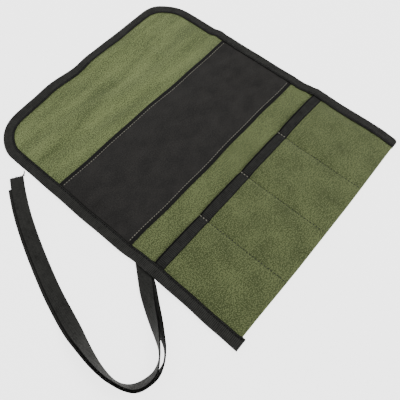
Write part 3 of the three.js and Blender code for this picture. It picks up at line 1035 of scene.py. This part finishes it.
def carry(piece, name, column):
    """The stretches on the two sides ride on their columns; the others only have their placement
    baked into their meshes.
    """
    if name.startswith("far"):
        return bend_at_flap(piece)
    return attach(piece, f"column_{column}")


def make_edge_tape():
    """The binding in six stretches: one at each side and four over the flap."""
    tape = [material("black_binding_tape")]
    path, cuts = binding_path()
    skin = binding_skin(path)
    for name, first, last, column, node in edge_pieces(path, cuts):
        ends = {"left": "uvV", "right": "UvV"}.get(name, "vV")
        piece = cloth(f"binding_{name}", skin.part(first, last), sizes().tape, tape, ends)
        carry(piece, name, column)
        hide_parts(node)


def make_mouth_tape():
    """The tape folded over the pocket mouths, in three pieces."""
    tape = [material("black_mouth_tape")]
    xs = across_roll(SIDE - 4 * MM)
    x = xs[:, None]
    t = sizes().tape
    nose = 0.9 * MM
    wander = 0.3 * MM * np.sin(x / (37 * MM)) + 0.25 * MM * np.sin(x / (13 * MM) + 1)
    leg = np.linspace(0, 1, 8)
    turn = np.linspace(0, np.pi, 9)[1:-1]
    start, tip = MOUTH_TAPE_START + wander, MOUTH_Y - nose
    y_leg = start + leg * (tip - start)
    y_turn = np.broadcast_to(tip + (nose - t / 2) * np.sin(turn), (len(xs), len(turn)))
    y = np.concatenate([y_leg, y_turn, y_leg[:, ::-1]], 1)
    wide = np.broadcast_to(x, y.shape)
    middle = front_mid(wide, y)
    level = np.concatenate([np.ones(len(leg)), np.cos(turn), -np.ones(len(leg))])
    z = middle + (sizes().canvas / 2 + t / 2) * level
    flat = np.stack(np.broadcast_arrays(x, across_fold(y, z)), -1)
    skin = Skin(np.stack([wide, y, z], -1), flat)
    for k, first, last in lower_spans(xs):
        piece = cloth(f"mouth_tape_{k}", skin.part(first, last), t, tape, "vV")
        bend_at_roll(piece)
        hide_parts(*stood_for(k, "pocket_mouth_tape_{}"))


def stitches(name, centres, along, up, length, radius, materials, which):
    """Small arched stitches, each at a centre, along a direction and lying on a surface."""
    rings, sides = 5, 6
    t = np.linspace(-1, 1, rings)
    around = np.linspace(0, 2 * np.pi, sides, endpoint=False)
    girth = radius * np.sqrt(1 - 0.72 * t ** 2)
    ahead = np.repeat(t * length / 2, sides)
    aside = (girth[:, None] * np.cos(around)).ravel()
    arch = radius * 0.9 * (1 - t ** 2)[:, None] - 0.35 * radius
    above = (girth[:, None] * np.sin(around) * 0.8 + arch).ravel()
    side = np.cross(up, along)
    verts = (
        centres[:, None] + along[:, None] * ahead[:, None]
        + side[:, None] * aside[:, None] + up[:, None] * above[:, None]
    ).reshape(-1, 3)
    one = tube_faces(rings, sides, 0)
    count = len(centres)
    size = rings * sides
    faces, index = [], []
    caps = (tuple(range(sides))[::-1], tuple(range((rings - 1) * sides, size)))
    for s in range(count):
        faces += [tuple(v + s * size for v in f) for f in (*one, *caps)]
        index += [which[s]] * (len(one) + 2)
    uvs = np.tile(np.stack([ahead, aside], -1), (count, 1))
    return make_object(name, verts, faces, None, uvs, materials, index)


def surface_row(x, y, height):
    """Places on a surface along a row, with the row's direction and the way up."""
    eps = 0.2 * MM
    z = height(x, y)
    points = np.stack([x, y, z], -1)
    along = Skin.unit(np.gradient(points, axis=0))
    slope = np.stack([
        -(height(x + eps, y) - height(x - eps, y)) / (2 * eps),
        -(height(x, y + eps) - height(x, y - eps)) / (2 * eps),
        np.ones_like(x),
    ], -1)
    up = Skin.unit(slope - (slope * along).sum(-1, keepdims=True) * along)
    return points, along, up


def sheet_under(x, y):
    """Lower face of the sheet."""
    return sheet_mid(x, y) - sizes().canvas / 2


def two_faced_row(name, x, y, height, look):
    """A row of stitches on a surface and the same row on the sheet's underside, half a step on."""
    top, along, up = surface_row(x, y, height)
    under, _, _ = surface_row(x, y, sheet_under)
    under = (under[1:] + under[:-1]) / 2
    length, radius = sizes().stitch_pitch * 0.62, sizes().thread / 2
    centres = np.concatenate([top, under])
    along = np.concatenate([along, along[1:]])
    up = np.concatenate([up, -up[1:]])
    return stitches(name, centres, along, up, length, radius, [look], [0] * len(centres))


def stitched_spans(cuts):
    """(number, start, stop) of the stretches of a row across the roll, cut at these places."""
    places = [-STITCHED_TO, *cuts, STITCHED_TO]
    return list(zip(range(1, len(places)), places[:-1], places[1:]))


def make_panel_stitching():
    """The pale rows along the panel's two long edges."""
    look = material("pale_thread")
    pitch = sizes().stitch_pitch
    for upper in (False, True):
        for k, a, b in stitched_spans(ROLL_LINES if upper else MIDDLES):
            x = spaced(a + pitch / 2, b - pitch / 2, pitch)
            y = panel_edge(x, upper) + sizes().stitch_inset * (-1 if upper else 1)
            name = f"panel_stitching_{'far' if upper else 'near'}_{k}"
            row = two_faced_row(name, x, y, panel_top, look)
            if upper:
                bend_at_flap(row)
                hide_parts(f"panel_stitch_upper_{k}")
            else:
                bend_at_roll(row)
                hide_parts(*stood_for(k, "panel_stitch_lower_{}"))


def front_top(x, y):
    """Upper face of the pocket front and of the tape over its mouth."""
    tape = sizes().tape * ((y > MOUTH_TAPE_START - 0.3 * MM) * 1.0)
    return front_mid(x, y) + sizes().canvas / 2 + tape


def make_seams():
    """The rows that divide the pockets, in one olive thread: on the canvas its stitches take the dark
    thread's colour, painted shade for the groove and holes they sink into, and over the mouth tape
    they are pale.
    """
    looks = [material("dark_thread"), material("pale_thread")]
    pitch = sizes().stitch_pitch * 1.15
    for k, line in enumerate(ROLL_LINES, 1):
        y = spaced(FOLD_Y + 3 * MM, MOUTH_Y - 1.8 * MM, pitch)
        x = np.full_like(y, line) + 0.25 * MM * np.sin(y / (9 * MM) + k)
        top, along, up = surface_row(x, y, front_top)
        on_tape = (y > MOUTH_TAPE_START).astype(int)
        under, _, _ = surface_row(x, y, sheet_under)
        centres = np.concatenate([top, under])
        along, up = np.concatenate([along, along]), np.concatenate([up, -up])
        seam = stitches(
            f"seam_stitching_{k}", centres, along, up, pitch * 0.58, sizes().thread * 0.8,
            looks, [*on_tape, *(0 * on_tape)],
        )
        bend_at_roll(seam)
        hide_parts(f"pocket_seam_{k}")


def make_tape_stitching():
    """The dark rows along the binding, on both faces, and along the mouth tape."""
    look = material("dark_thread")
    path, cuts = binding_path()
    skin = binding_skin(path)
    length = distances(path[:, :2])
    for name, first, last, column, _ in edge_pieces(path, cuts):
        start, stop = length[first] + STITCH_MARGIN, length[last] - STITCH_MARGIN
        s = spaced(start, stop, sizes().stitch_pitch)
        rows = []
        for col in (STITCH_COLUMN, -STITCH_COLUMN - 1):
            rows.append([
                np.stack([np.interp(s, length, field[:, col, i]) for i in range(3)], -1)
                for field in (skin.points, skin.normal)
            ])
        centres = np.concatenate([p + n * sizes().tape / 2 for p, n in rows])
        along = np.concatenate([Skin.unit(np.gradient(p, axis=0)) for p, _ in rows])
        up = np.concatenate([n for _, n in rows])
        row = stitches(
            f"binding_stitching_{name}", centres, along, up, sizes().stitch_pitch * 0.8,
            sizes().thread / 2, [look], [0] * len(centres),
        )
        carry(row, name, column)
    for k, a, b in stitched_spans(MIDDLES):
        x = spaced(a + STITCH_MARGIN, b - STITCH_MARGIN, sizes().stitch_pitch)
        y = np.full_like(x, MOUTH_TAPE_START + MOUTH_STITCHES)
        points, along, up = surface_row(x, y, front_top)
        row = stitches(
            f"mouth_stitching_{k}", points, along, up, sizes().stitch_pitch * 0.7,
            sizes().thread / 2, [look], [0] * len(points),
        )
        bend_at_roll(row)


def make_camera():
    """The camera, where the view's settings put it."""
    view = bpy.context.scene.roll_view
    camera = bpy.data.cameras.new("camera")
    camera.lens = view.lens
    camera.sensor_width = 36
    camera.clip_start = 0.01
    stand = bpy.data.objects.new("camera", camera)
    right, up = np.array(view.right), np.array(view.up)
    back = np.cross(right, up)
    rotation = np.stack([right, up, back], -1)
    rows = [[*rotation[i], view.place[i]] for i in range(3)]
    stand.matrix_world = Matrix([*rows, [0, 0, 0, 1]])
    bpy.context.scene.collection.objects.link(stand)
    bpy.context.scene.camera = stand


def make_stage():
    """The pale floor, the light all round and the two lamps, which point at the frame's origin."""
    scene = bpy.context.scene
    view = scene.roll_view
    white = (1, 1, 1, 1)
    look = Look("pale_floor", Roughness=0.9, Emission_Color=white, Emission_Strength=view.floor_glow)
    shades = look.noise(look.node("ShaderNodeTexCoord").outputs["Object"], 3.0)
    base = colours().floor
    look.wear("Base Color", look.ramp(shades, [(0.3, shade(base, 0.985)), (0.7, base)]))
    corners = np.array([(-1, -1, 0), (1, -1, 0), (1, 1, 0), (-1, 1, 0)]) * FLOOR_HALF
    face = [(0, 1, 2, 3)]
    floor = make_object("floor", corners, face, None, corners[:, :2], [look.material], [0])
    world = bpy.data.worlds.new("soft_studio")
    world.use_nodes = True
    sky = world.node_tree.nodes["Background"]
    sky.inputs["Color"].default_value = white
    sky.inputs["Strength"].default_value = view.soft_light
    scene.world = world
    for (name, place, size), power in zip(LAMPS, (view.key_light, view.fill_light)):
        lamp = bpy.data.lights.new(name, "AREA")
        lamp.size = size
        lamp.energy = power
        stand = bpy.data.objects.new(name, lamp)
        stand.location = place
        aim = -np.array(place)
        tilt = math.atan2(math.hypot(aim[0], aim[1]), -aim[2])
        stand.rotation_euler = Euler((tilt, 0, math.atan2(aim[1], aim[0]) - math.pi / 2))
        scene.collection.objects.link(stand)


class TOOLROLL_OT_camera(bpy.types.Operator):
    """Add the camera that looks down on the open roll"""

    bl_idname = "tool_roll.camera"
    bl_label = "Camera"

    def execute(self, context):
        make_camera()
        return {"FINISHED"}


class TOOLROLL_OT_ties(bpy.types.Operator):
    """Add the two tails of the tie tape, with their tucked ends and loose yarns"""

    bl_idname = "tool_roll.ties"
    bl_label = "Ties"

    def execute(self, context):
        make_ties()
        return {"FINISHED"}


class TOOLROLL_OT_canvas(bpy.types.Operator):
    """Add the canvas: its back, its pocket fronts and its flap"""

    bl_idname = "tool_roll.canvas"
    bl_label = "Canvas"

    def execute(self, context):
        make_canvas()
        return {"FINISHED"}


class TOOLROLL_OT_panel(bpy.types.Operator):
    """Add the black panel across the middle"""

    bl_idname = "tool_roll.panel"
    bl_label = "Panel"

    def execute(self, context):
        make_panel()
        return {"FINISHED"}


class TOOLROLL_OT_edge_tape(bpy.types.Operator):
    """Add the tape bound over the sides and the flap's end"""

    bl_idname = "tool_roll.edge_tape"
    bl_label = "Edge Tape"

    def execute(self, context):
        make_edge_tape()
        return {"FINISHED"}


class TOOLROLL_OT_mouth_tape(bpy.types.Operator):
    """Add the tape bound over the pocket mouths"""

    bl_idname = "tool_roll.mouth_tape"
    bl_label = "Mouth Tape"

    def execute(self, context):
        make_mouth_tape()
        return {"FINISHED"}


class TOOLROLL_OT_panel_stitching(bpy.types.Operator):
    """Add the pale rows of stitches along the panel"""

    bl_idname = "tool_roll.panel_stitching"
    bl_label = "Panel Stitching"

    def execute(self, context):
        make_panel_stitching()
        return {"FINISHED"}


class TOOLROLL_OT_pocket_seams(bpy.types.Operator):
    """Add the rows of stitches that divide the pockets"""

    bl_idname = "tool_roll.pocket_seams"
    bl_label = "Pocket Seams"

    def execute(self, context):
        make_seams()
        return {"FINISHED"}


class TOOLROLL_OT_tape_stitching(bpy.types.Operator):
    """Add the dark rows of stitches along the tapes"""

    bl_idname = "tool_roll.tape_stitching"
    bl_label = "Tape Stitching"

    def execute(self, context):
        make_tape_stitching()
        return {"FINISHED"}


class TOOLROLL_OT_stage(bpy.types.Operator):
    """Add the floor, the soft light and the lamps"""

    bl_idname = "tool_roll.stage"
    bl_label = "Stage"

    def execute(self, context):
        make_stage()
        return {"FINISHED"}


OPERATORS = (
    TOOLROLL_OT_camera,
    TOOLROLL_OT_ties,
    TOOLROLL_OT_canvas,
    TOOLROLL_OT_panel,
    TOOLROLL_OT_edge_tape,
    TOOLROLL_OT_mouth_tape,
    TOOLROLL_OT_panel_stitching,
    TOOLROLL_OT_pocket_seams,
    TOOLROLL_OT_tape_stitching,
    TOOLROLL_OT_stage,
)


class TOOLROLL_PT_sidebar(bpy.types.Panel):
    """The roll's pieces, sizes, colours and view"""

    bl_idname = "TOOLROLL_PT_sidebar"
    bl_label = "Tool Roll"
    bl_space_type = "VIEW_3D"
    bl_region_type = "UI"
    bl_category = "Tool Roll"

    def draw(self, context):
        column = self.layout.column(align=True)
        for step in OPERATORS:
            column.operator(step.bl_idname)
        for heading, group in (
            ("Sizes", context.scene.roll_sizes), ("Colours", context.scene.roll_colours),
            ("View", context.scene.roll_view),
        ):
            box = self.layout.box()
            box.label(text=heading)
            for name in group.__annotations__:
                box.prop(group, name)


GROUPS = {"roll_sizes": RollSizes, "roll_colours": RollColours, "roll_view": RollView}


def register():
    for group in GROUPS.values():
        bpy.utils.register_class(group)
    for name, group in GROUPS.items():
        setattr(bpy.types.Scene, name, PointerProperty(type=group))
    for cls in (*OPERATORS, TOOLROLL_PT_sidebar):
        bpy.utils.register_class(cls)


def unregister():
    for cls in (TOOLROLL_PT_sidebar, *reversed(OPERATORS)):
        bpy.utils.unregister_class(cls)
    for name in GROUPS:
        delattr(bpy.types.Scene, name)
    for group in reversed(GROUPS.values()):
        bpy.utils.unregister_class(group)


def main():
    """Builds the whole roll."""
    register()
    steps = bpy.ops.tool_roll
    for step in (
        steps.camera, steps.ties, steps.canvas, steps.panel, steps.edge_tape, steps.mouth_tape,
        steps.panel_stitching, steps.pocket_seams, steps.tape_stitching, steps.stage,
    ):
        step()


if __name__ == "__main__":
    main()
